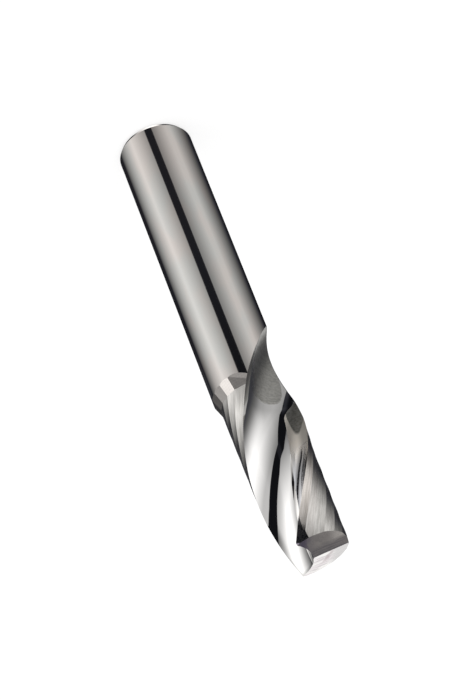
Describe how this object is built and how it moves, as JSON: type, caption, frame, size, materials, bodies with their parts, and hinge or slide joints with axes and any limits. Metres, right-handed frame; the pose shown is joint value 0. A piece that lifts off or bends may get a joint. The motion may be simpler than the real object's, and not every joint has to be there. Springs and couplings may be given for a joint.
{
  "type": "end mill",
  "caption": "Straight-shank end mill with a wide right-hand helical flute, a hooked rake face, faceted relief behind the cutting edge and a dished cutting end.",
  "frame": {"origin": "centre of the flat end of the shank", "axes": "+Z along the tool's axis from the shank end to the tip, +X through the cutting corner at the tip"},
  "size_m": [0.01, 0.01, 0.072],
  "materials": {
    "carbide": "ground, with a polished shank and flute"
  },
  "bodies": {
    "root": {"end_mill": "carbide"}
  },
  "joints": []
}
